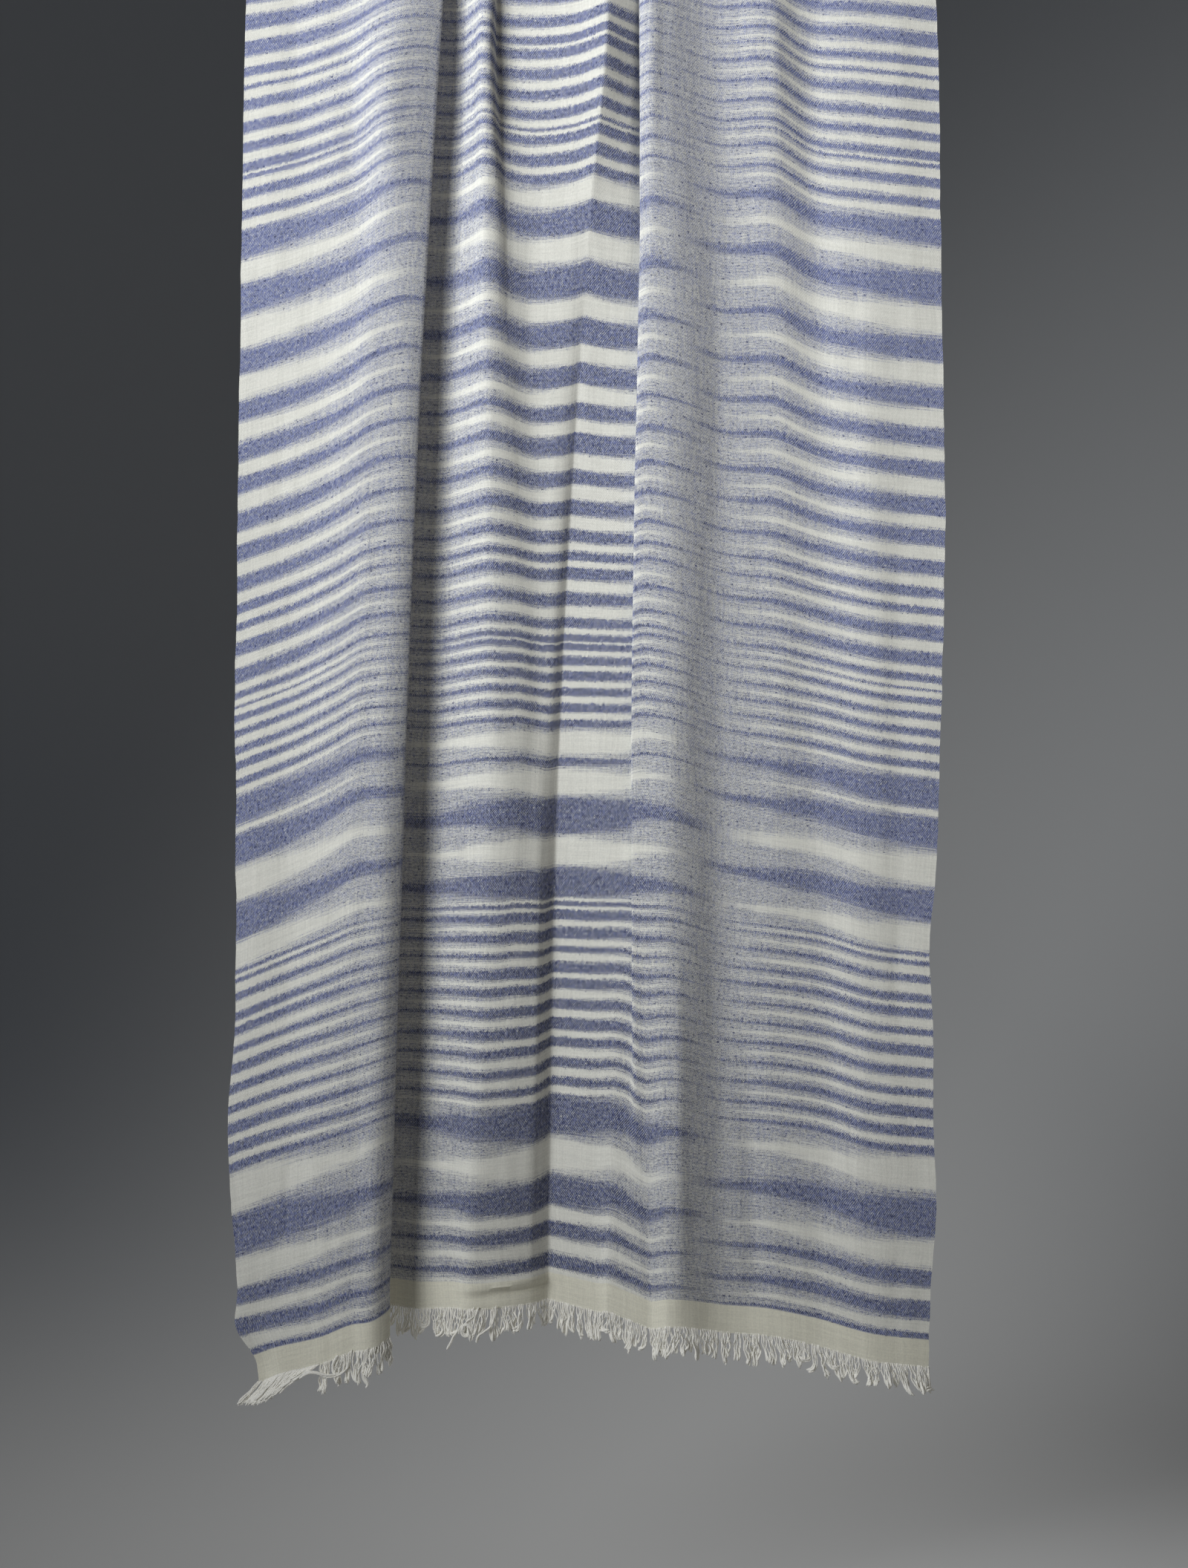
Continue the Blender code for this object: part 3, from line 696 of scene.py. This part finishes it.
def rod_piece():
    """The rod with finely rounded end edges, turned round X."""
    half = ROD_LENGTH / 2
    cap = [(half, ROD_RADIUS * ROD_END_INSET), (half, ROD_RADIUS - ROD_ROUNDING)]
    for k in range(1, ROD_ROUNDING_STEPS + 1):
        angle = pi / 2 * k / ROD_ROUNDING_STEPS
        cap.append((half - ROD_ROUNDING * (1 - cos(angle)),
                    ROD_RADIUS - ROD_ROUNDING * (1 - sin(angle))))
    stations = np.linspace(half - ROD_END_RUN, -half + ROD_END_RUN, ROD_STATIONS)
    rings = cap + [(float(x), ROD_RADIUS) for x in stations] + [(-x, r) for x, r in reversed(cap)]
    angles = [2 * pi * k / ROD_SIDES for k in range(ROD_SIDES)]
    verts = [(x, r * cos(angle), r * sin(angle)) for x, r in rings for angle in angles]
    verts = [(half, 0, 0)] + verts + [(-half, 0, 0)]
    faces = []
    for k in range(ROD_SIDES):
        after = (k + 1) % ROD_SIDES
        faces.append((0, 1 + k, 1 + after))
        for i in range(len(rings) - 1):
            a = 1 + i * ROD_SIDES
            faces.append((a + k, a + ROD_SIDES + k, a + ROD_SIDES + after, a + after))
        a = 1 + (len(rings) - 1) * ROD_SIDES
        faces.append((a + k, len(verts) - 1, a + after))
    return add_object("round_rod", smooth_mesh("round_rod", verts, faces, ROD_SHARP_ANGLE))


# Materials

class Graph:
    """A short way to add shader nodes and join them."""

    def __init__(self, name):
        self.material = bpy.data.materials.new(name)
        self.material.use_nodes = True
        self.tree = self.material.node_tree
        self.shader = self.tree.nodes["Principled BSDF"]

    def put(self, socket, value):
        if isinstance(value, bpy.types.NodeSocket):
            self.tree.links.new(value, socket)
        else:
            socket.default_value = value

    def feed(self, node, *values):
        """Fills a node's sockets in their order and gives its first output."""
        for socket, value in zip(node.inputs, values):
            self.put(socket, value)
        return node.outputs[0]

    def fill(self, node, **values):
        """Fills a node's named sockets, with an underscore for each space in a name."""
        for name, value in values.items():
            self.put(node.inputs[name.replace("_", " ")], value)

    def node(self, kind, **settings):
        node = self.tree.nodes.new(kind)
        for key, value in settings.items():
            setattr(node, key, value)
        return node

    def math(self, operation, a, b=0.0, c=0.0, clamp=False):
        return self.feed(self.node("ShaderNodeMath", operation=operation, use_clamp=clamp), a, b, c)

    def plus(self, a, b, clamp=False):
        return self.math("ADD", a, b, clamp=clamp)

    def minus(self, a, b):
        return self.math("SUBTRACT", a, b)

    def times(self, a, b):
        return self.math("MULTIPLY", a, b)

    def times_plus(self, a, b, c, clamp=False):
        return self.math("MULTIPLY_ADD", a, b, c, clamp)

    def vector(self, x, y, z):
        return self.feed(self.node("ShaderNodeCombineXYZ"), x, y, z)

    def map_places(self, name):
        """The two coordinates of the mesh's UV map."""
        split = self.node("ShaderNodeSeparateXYZ")
        self.put(split.inputs[0], self.node("ShaderNodeUVMap", uv_map=name).outputs[0])
        return split.outputs[0], split.outputs[1]

    def object_places(self, scales=None):
        """The object's own coordinates, with a scale for each axis where one is given."""
        where = self.node("ShaderNodeTexCoord").outputs["Object"]
        if scales is None:
            return where
        stretch = self.node("ShaderNodeMapping")
        self.fill(stretch, Vector=where, Scale=scales)
        return stretch.outputs[0]

    def noise(self, where, scale=1.0, detail=1.0, roughness=0.5):
        """Noise from 0 to 1 about 0.5."""
        node = self.node("ShaderNodeTexNoise", noise_dimensions="3D")
        self.fill(node, Vector=where, Scale=scale, Detail=detail, Roughness=roughness)
        return node.outputs["Fac"]

    def remap(self, value, low, high, to_low=0.0, to_high=1.0, smooth=False):
        node = self.node("ShaderNodeMapRange", clamp=True)
        node.interpolation_type = "SMOOTHSTEP" if smooth else "LINEAR"
        return self.feed(node, value, low, high, to_low, to_high)

    def mix(self, factor, a, b, blend="MIX"):
        node = self.node("ShaderNodeMix", data_type="RGBA", blend_type=blend)
        self.fill(node, Factor=factor, A=a, B=b)
        return node.outputs["Result"]

    def bump(self, height, distance, strength):
        node = self.node("ShaderNodeBump")
        self.fill(node, Height=height, Distance=distance, Strength=strength)
        self.fill(self.shader, Normal=node.outputs[0])

    def surface(self, color, **values):
        self.fill(self.shader, Base_Color=color, **values)


def stripe_edges():
    """How far up the cloth each stripe starts, with the yarn's phase there."""
    up, phase = HEM_BAND, 0.0
    edges = [(0.0, HEM_PHASE), (up, HEM_PHASE)]
    plan = FRONT_PLAN
    while up < WOVEN_LENGTH - HEM_BAND:
        for blue, cream in plan:
            edges.append((up + blue * MILLIMETRE, phase + BLUE_SHARE))
            up += (blue + cream) * MILLIMETRE
            phase += 1.0
            edges.append((up, phase))
        plan = BACK_PLAN
    return edges


def yarn_phase(graph, up):
    """The weft yarn's phase at the left selvedge, from curves that hold the stripe plan."""
    edges = stripe_edges()
    ups, phases = zip(*edges)
    cuts = np.linspace(0, WOVEN_LENGTH, CURVE_SECTIONS + 1)
    total = HEM_PHASE
    for low, high in zip(cuts[:-1], cuts[1:]):
        start, end = np.interp([low, high], ups, phases)
        inside = [(u, p) for u, p in edges if low < u < high]
        curve = graph.node("ShaderNodeFloatCurve")
        points = curve.mapping.curves[0].points
        for u, p in inside:
            points.new((u - low) / (high - low), (p - start) / (end - start))
        for point in points:
            point.handle_type = "VECTOR"
        curve.mapping.update()
        graph.put(curve.inputs["Value"], graph.remap(up, low, high))
        total = graph.plus(total, graph.times(curve.outputs[0], float(end - start)))
    return total


# The noises that the weave and the dye vary by, in features per metre across and up the cloth. sway
# is in features too.

Grain = namedtuple("Grain", "across up seed detail roughness sway", defaults=(1.0, 0.5, 0.0))

GRAINS = {
    "wobble": Grain(110, 80, 1, 3, 0.6),
    "breaks": Grain(700, 500, 3),
    "patches": Grain(380, 330, 16),
    "thread": Grain(6, 1500, 0.3),
    "streak": Grain(55, 950, 9.3),
    "drift": Grain(11, 60, 4.3, 2),
    "pick": Grain(430, 800, 2.2, 2, 0.65),
    "dark_picks": Grain(7, 640, 12.5, 0),
    "sway": Grain(60, 25, 17, 2),
    "bars": Grain(640, 34, 21, 3, 0.75, 7),
    "thread_dye": Grain(60, 900, 6, 2, 0.6),
    "cloud_dye": Grain(820, 260, 8, 2, 0.7),
    "warp_ends": Grain(700, 9, 0.7, 4, 0.75, 5),
    "fibre": Grain(620, 620, 5.1, 2, 0.6),
    "level": Grain(33, 700, 14.5, 3, 0.7),
    "slubs": Grain(380, 520, 11, 0),
}

TWILL_WANDER = 12.0  # radians that the twill lines wander by
PICK_WANDER = 0.002  # metres that the picks wander by
PICK_NOISE = 5.0
PICK_TURN = (1.7, 3.3)  # where picks thrown back turn to picks thrown forth
PICKS_APART = 0.66  # share of the weft that shows pick by pick, and not blurred

# The phase of the dye in a thread, in shares of the yarn's repeat
PHASE_BY_THREAD, PHASE_BY_STREAK, PHASE_BY_DRIFT, PHASE_MIDDLE = 0.12, 0.12, 0.16, -0.2
PHASE_LIFT = 100.0  # whole repeats that keep it above 0
DYE_BLUR = 0.07  # half the run in which blue turns to cream

# How toothed a stripe's edges are, in metres
TEETH_BY_TWILL, TEETH_BY_BREAKS, TEETH_BY_PATCHES, TEETH_MIDDLE = 0.0007, 0.0022, 0.0034, 0.0028

# Where the weft gets fuller across the cloth, and where it gets even again
GAIN_RUN, LOSS_RUN = (0.56, 0.72), (0.8, 0.92)

DARK_PICKS, DARK_PICK_BLUE = (0.52, 0.74), 0.6
BAR_BLUE, BAR_TONE = 4.6, 1.1
HEM_BLUR = 0.0006

# How pale the blue is. A range with four values gives low and high and what they turn to.
TONE_BY_THREAD, TONE_BY_CLOUD = 0.6, 1.9
TONE_RANGE = (1.0, 1.5)
MIDDLE = 0.48  # where across the cloth the blue is deepest
TONE_OFF_MIDDLE = (0.08, 0.45, -0.16, 0.18)
# painted light: the blue pales up the cloth towards the rod, standing in for the stronger light near the
# top
PAINTED_LIGHT_UP = (0.1, FRONT_FALL, -0.12, 0.34)

# How much the warp shows, and how light or dark its ends, the fibres and the picks are
WARP_BY_TWILL = (-0.5, 1.0, 0.0, 0.5)
WARP_BY_BREAKS = (0.3, 0.7, 0.55, 1.35)
WARP_BY_PATCHES = (0.32, 0.68, 0.35, 1.45)
WARP_SHADE = (0.25, 0.75, 0.9, 1.07)
FIBRE_SHADE = (0.25, 0.75, 0.92, 1.06)
PICK_SHADE = (0.25, 0.75, 0.9, 1.06)

PALE_SLUBS, PALE_SLUB_MIX = (0.22, 0.17), 0.55
DARK_SLUBS, DARK_SLUB_MIX, DARK_SLUB_BLUE = (0.7, 0.78), 0.8, (0.1, 0.35)
RELIEF_BY_TWILL, RELIEF_BY_PICK, RELIEF_BY_WARP, RELIEF_BY_LEVEL = 0.14, 0.7, 0.7, 1.4
CLOTH_BUMP = (0.00022, 0.7)  # distance and strength


def cloth_material():
    """Fine twill of cream warp and space-dyed weft, with plain cream hem bands."""
    g = Graph("striped_twill")
    across, up = g.map_places("weave")
    wide = g.times(across, CLOTH_WIDTH)

    def grain(name, sway=0.0):
        """A named noise over the cloth, swayed by another noise."""
        kind = GRAINS[name]
        along = g.times(wide, kind.across)
        if kind.sway:
            along = g.times_plus(wide, kind.across, g.times(sway, kind.sway))
        where = g.vector(along, g.times(up, kind.up), kind.seed)
        return g.noise(where, 1.0, kind.detail, kind.roughness)

    # twill lines that rise to the right
    wobble = grain("wobble")
    slant = g.minus(g.times(wide, 2 * pi / TWILL_REPEAT / WARP_PITCH),
                    g.times(up, 2 * pi / TWILL_REPEAT / WEFT_PITCH))
    line = g.math("SINE", g.times_plus(wobble, TWILL_WANDER, slant))
    picks = g.math("SINE", g.times(g.plus(up, g.times(wobble, PICK_WANDER)), pi / WEFT_PITCH))
    breaks = grain("breaks")

    # each weft thread shifts the dye a little, in streaks along the weft
    shift = g.times_plus(grain("thread"), PHASE_BY_THREAD, g.times(grain("streak"), PHASE_BY_STREAK))
    shift = g.plus(shift, g.times_plus(grain("drift"), PHASE_BY_DRIFT, PHASE_MIDDLE))
    patches = grain("patches")
    toothed = g.times_plus(line, TEETH_BY_TWILL, g.times(breaks, TEETH_BY_BREAKS))
    toothed = g.times_plus(patches, TEETH_BY_PATCHES, toothed)
    phase = yarn_phase(g, g.minus(g.plus(up, toothed), TEETH_MIDDLE))

    # the weft lies a little fuller to the right of the middle
    gain = g.remap(across, *GAIN_RUN, 0.0, FULLER, smooth=True)
    loss = g.remap(across, *LOSS_RUN, 0.0, FULLER, smooth=True)
    woven = g.plus(across, g.minus(gain, loss))

    def blue_of(direction):
        """How blue the threads are that were thrown one way."""
        along = g.times_plus(woven, direction, g.plus(phase, shift))
        place = g.math("FRACT", g.plus(along, 0.5 - BLUE_SHARE / 2 + PHASE_LIFT))
        away = g.math("ABSOLUTE", g.minus(place, 0.5))
        return g.remap(away, BLUE_SHARE / 2 - DYE_BLUR, BLUE_SHARE / 2 + DYE_BLUR, 1.0, 0.0, smooth=True)

    forth, back = blue_of(1.0), blue_of(-1.0)
    pick = grain("pick")
    which = g.remap(g.times_plus(pick, PICK_NOISE, picks), *PICK_TURN)
    mixed = g.plus(g.times(forth, which), g.times(back, g.minus(1.0, which)))
    even = g.times(g.plus(forth, back), 0.5)
    blue = g.plus(g.times(mixed, PICKS_APART), g.times(even, 1 - PICKS_APART))

    # where threads of both colours mix, some picks are bluer from edge to edge
    dark_pick = g.remap(grain("dark_picks"), *DARK_PICKS)
    room = g.times(blue, g.minus(1.0, blue))
    blue = g.times_plus(g.times(dark_pick, room), DARK_PICK_BLUE, blue)

    # the warp beats the weft down more on some ends, in short upright bars
    sway = grain("sway")
    bars = g.minus(grain("bars", sway), 0.5)
    blue = g.times_plus(g.times(bars, room), BAR_BLUE, blue, clamp=True)

    # the plain hem bands have no blue
    high = WOVEN_LENGTH - HEM_BAND
    striped = g.times(g.remap(up, HEM_BAND - HEM_BLUR, HEM_BAND + HEM_BLUR),
                      g.remap(up, high + HEM_BLUR, high - HEM_BLUR))
    blue = g.times(blue, striped)

    # the dye is uneven from thread to thread and in broad clouds, and painted light pales the blue towards
    # the top
    tone = g.plus(g.times(grain("thread_dye"), TONE_BY_THREAD), g.times(grain("cloud_dye"), TONE_BY_CLOUD))
    off_middle = g.math("ABSOLUTE", g.minus(across, MIDDLE))
    tone = g.plus(g.remap(tone, *TONE_RANGE), g.remap(off_middle, *TONE_OFF_MIDDLE))
    tone = g.times_plus(bars, BAR_TONE, tone)
    # painted light: paler blue higher up, standing in for the stronger light near the rod
    tone = g.plus(tone, g.remap(up, *PAINTED_LIGHT_UP), clamp=True)
    weft = g.mix(blue, g.mix(striped, HEM_CREAM, CREAM), g.mix(tone, BLUE, BLUE_LIGHT))

    # the cream warp shows along the twill lines
    warp_shows = g.times(g.remap(line, *WARP_BY_TWILL), g.remap(breaks, *WARP_BY_BREAKS))
    warp_shows = g.times(g.times(warp_shows, g.remap(patches, *WARP_BY_PATCHES)), striped)
    color = g.mix(warp_shows, weft, WARP_CREAM)

    # warp ends, fibres and picks differ, which shows as faint streaks
    warp_ends, level = grain("warp_ends", sway), grain("level")
    for part, shade in ((warp_ends, WARP_SHADE), (grain("fibre"), FIBRE_SHADE), (level, PICK_SHADE)):
        color = g.mix(1.0, color, g.remap(part, *shade), "MULTIPLY")

    # a few pale and dark slubs
    slubs = grain("slubs")
    pale = g.times(g.times(g.remap(slubs, *PALE_SLUBS), blue), PALE_SLUB_MIX)
    dark = g.times(g.times(g.remap(slubs, *DARK_SLUBS), g.remap(blue, *DARK_SLUB_BLUE)), DARK_SLUB_MIX)
    color = g.mix(dark, g.mix(pale, color, CREAM), BLUE)

    g.surface(color, Roughness=0.88, Sheen_Weight=0.1, Sheen_Roughness=0.5, Specular_IOR_Level=0.25)
    height = g.plus(g.times(line, RELIEF_BY_TWILL), g.times(pick, RELIEF_BY_PICK))
    rest = g.times_plus(warp_ends, RELIEF_BY_WARP, g.times(level, RELIEF_BY_LEVEL))
    g.bump(g.plus(height, rest), *CLOTH_BUMP)
    return g.material


# painted shade for the grooves between the plies, and the plies' own pale cream
YARN_GROOVE_SHADE, YARN_PALE = (0.84, 0.82, 0.74, 1), (0.97, 0.955, 0.89, 1)
PLIES = 2
PLY_TWIST = 5200.0  # radians per metre
YARN_SPOTS = 900.0  # per metre
YARN_BUMP = (0.00012, 0.4)  # distance and strength


def yarn_material():
    """Cream twisted yarn: pale plies that spiral, with painted shade in the soft lines between them."""
    g = Graph("cream_yarn")
    around, along = g.map_places("yarn")
    ply = g.math("SINE", g.plus(g.times(around, 2 * pi * PLIES), g.times(along, PLY_TWIST)))
    spots = g.noise(g.object_places(), YARN_SPOTS, 3.0)
    # painted shade: darker where the ply sine is low, in the grooves between plies; the spots vary at
    # random
    tone = g.plus(g.remap(ply, -1.0, 0.0, 0.0, 0.8), g.times(spots, 0.5), clamp=True)
    g.surface(g.mix(tone, YARN_GROOVE_SHADE, YARN_PALE), Roughness=0.9, Sheen_Weight=0.2)
    g.bump(g.plus(ply, spots), *YARN_BUMP)
    return g.material


WOOD_DARK, WOOD_LIGHT = (0.36, 0.215, 0.105, 1), (0.56, 0.375, 0.205, 1)
WOOD_FLECK = (0.25, 0.13, 0.055, 1)
GRAIN_SCALES = (4.0, 90.0, 90.0)  # features per metre along the rod and across it
FLECK_SCALES = (260.0, 1500.0, 1500.0)
GRAIN_LINES = 7.0  # lines to the grain noise's whole range
FLECK_RANGE = (0.62, 0.74, 0.0, 0.55)
WOOD_ROUGHNESS = (0.3, 0.7, 0.42, 0.55)
WOOD_BUMP = (0.0002, 0.4)  # distance and strength


def wood_material():
    """Oiled beech: fine grain lines and short flecks along the rod, with a satin gloss."""
    g = Graph("oiled_beech")
    grain = g.noise(g.object_places(GRAIN_SCALES), 1.0, 5.0, 0.6)
    fleck = g.noise(g.object_places(FLECK_SCALES))
    lines = g.math("ABSOLUTE", g.minus(g.math("FRACT", g.times(grain, GRAIN_LINES)), 0.5))
    color = g.mix(g.remap(lines, 0.0, 0.5), WOOD_DARK, WOOD_LIGHT)
    color = g.mix(g.remap(fleck, *FLECK_RANGE), color, WOOD_FLECK)
    g.surface(color, Roughness=g.remap(grain, *WOOD_ROUGHNESS), Coat_Weight=0.15, Coat_Roughness=0.35)
    g.bump(g.plus(grain, g.times(fleck, 0.4)), *WOOD_BUMP)
    return g.material


# Stage, light and camera

FLOOR_COLOR = (0.6, 0.6, 0.59, 1)
FLOOR_DEPTH = 1.45  # below the rod
SWEEP_START = 0.4  # how far behind the rod the floor starts to sweep up
SWEEP_RADIUS = 3.0
SWEEP_STEPS = 40
SWEEP_SIDE = 6.0  # how far the floor goes to the front, to each side and up

AMBIENT_COLOR, AMBIENT_STRENGTH = (0.7, 0.77, 0.9, 1), 0.075

Light = namedtuple("Light", "name place target side power color spread")

LIGHTS = (
    Light("key", (-2.14, -1.84, 0.5), (0.12, 0, -0.12), 1.4, 14.6, (0.97, 0.985, 1.0), 56),
    Light("fill", (1.4, -2.3, 0.0), (0.05, 0, -0.4), 1.4, 0.9, (1.0, 0.88, 0.68), 64),
    Light("back", (1.3, 2.0, 0.3), (0, 0, -0.3), 1.2, 9, (1.0, 0.99, 0.97), 80),
)

PICTURE_WIDTH, PICTURE_HEIGHT = 1600, 2112
METRES_PER_PIXEL = 0.0006  # in the plane of the cloth's front
CLOTH_PLANE = -0.025  # that plane's y
VIEW_DISTANCE = 1.5  # from the camera to that plane
TOP_OF_PICTURE = -0.07  # z of the picture's top edge in that plane
MIDDLE_PIXEL = 793  # picture column of the origin
SENSOR = 36.0  # millimetres


def add_light(light):
    lamp = bpy.data.lights.new(light.name, "AREA")
    lamp.shape = "RECTANGLE"
    lamp.size = lamp.size_y = light.side
    lamp.energy = light.power
    lamp.color = light.color
    lamp.spread = radians(light.spread)
    item = add_object(light.name, lamp)
    item.location = light.place
    toward = Vector(light.target) - Vector(light.place)
    item.rotation_euler = toward.to_track_quat("-Z", "Y").to_euler()


def floor_piece():
    """A floor that sweeps up behind the stole."""
    profile = [(-SWEEP_SIDE, -FLOOR_DEPTH)]
    for k in range(SWEEP_STEPS + 1):
        angle = pi / 2 * k / SWEEP_STEPS
        profile.append((SWEEP_START + SWEEP_RADIUS * sin(angle),
                        -FLOOR_DEPTH + SWEEP_RADIUS * (1 - cos(angle))))
    profile.append((SWEEP_START + SWEEP_RADIUS, SWEEP_SIDE))
    verts = [(x, y, z) for y, z in profile for x in (-SWEEP_SIDE, SWEEP_SIDE)]
    faces = [(2 * k, 2 * k + 1, 2 * k + 3, 2 * k + 2) for k in range(len(profile) - 1)]
    mesh = smooth_mesh("floor", verts, faces)
    paint = Graph("pale_floor")
    paint.surface(FLOOR_COLOR, Roughness=0.9)
    mesh.materials.append(paint.material)
    return add_object("floor", mesh)


def stage_and_camera():
    floor = floor_piece()

    world = bpy.data.worlds.new("studio")
    world.use_nodes = True
    sky = world.node_tree.nodes["Background"]
    sky.inputs["Color"].default_value = AMBIENT_COLOR
    sky.inputs["Strength"].default_value = AMBIENT_STRENGTH
    bpy.context.scene.world = world
    for light in LIGHTS:
        add_light(light)

    camera = bpy.data.cameras.new("camera")
    camera.sensor_width = camera.sensor_height = SENSOR
    camera.sensor_fit = "VERTICAL"
    camera.lens = SENSOR * VIEW_DISTANCE / (PICTURE_HEIGHT * METRES_PER_PIXEL)
    item = add_object("camera", camera)
    item.location = ((PICTURE_WIDTH / 2 - MIDDLE_PIXEL) * METRES_PER_PIXEL,
                     CLOTH_PLANE - VIEW_DISTANCE,
                     TOP_OF_PICTURE - PICTURE_HEIGHT / 2 * METRES_PER_PIXEL)
    item.rotation_euler = (pi / 2, 0, 0)
    bpy.context.scene.camera = item
    bpy.context.scene.view_settings.view_transform = "Standard"


# Assembly

def build():
    grid, up = cloth_grid()
    steps = np.linalg.norm(np.diff(grid, axis=0), axis=2)
    across = np.concatenate([np.zeros((1, grid.shape[1])), np.cumsum(steps, axis=0)])
    across = across / across[-1]
    grid = uneven_selvedges(crumple(grid, up), up, across)

    cloth = cloth_shell("stole_cloth", grid, across, up)
    cloth.data.materials.append(cloth_material())
    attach(cloth, "root")
    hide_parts("front_fall", "over_rod", "back_fall")

    yarn = yarn_material()
    for fringe in FRINGES:
        piece = fringe_mesh(fringe, grid, across)
        piece.data.materials.append(yarn)
        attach(piece, "root")
    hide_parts("fringe_front")
    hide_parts("fringe_back")

    rod = rod_piece()
    rod.data.materials.append(wood_material())
    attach(rod, "root")
    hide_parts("rod")

    stage_and_camera()


build()
